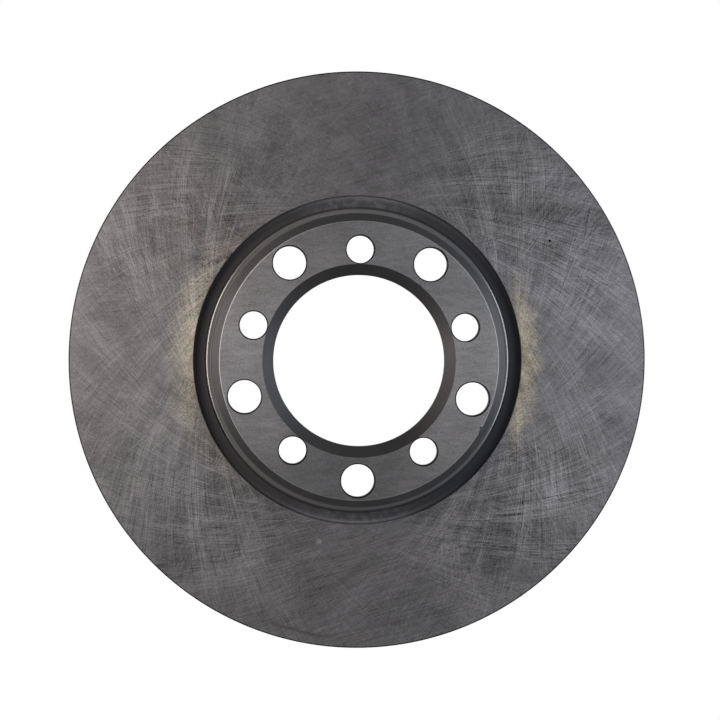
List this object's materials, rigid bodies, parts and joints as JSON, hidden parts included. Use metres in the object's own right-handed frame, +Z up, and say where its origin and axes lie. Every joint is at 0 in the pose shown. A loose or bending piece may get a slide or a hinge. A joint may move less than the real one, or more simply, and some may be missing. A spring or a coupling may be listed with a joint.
{
  "type": "brake disc",
  "caption": "Solid one-piece brake disc: flat ground friction ring, relief groove and a raised hat with a chamfered centre bore and two rings of bolt holes.",
  "frame": {"origin": "centre of the hat's mounting face, where the hub bolt circle lies", "axes": "Y is the disc's axis: -Y leaves the hat's mounting face towards the hub and wheel, +Y leaves the back; +Z is up, as the disc stands on a car"},
  "size_m": [0.273, 0.0366, 0.273],
  "materials": {
    "ground_iron": "ground friction faces with crossed fine scratches, satin turned hat, darker groove"
  },
  "bodies": {
    "root": {"brake_disc": "ground_iron"}
  },
  "joints": []
}
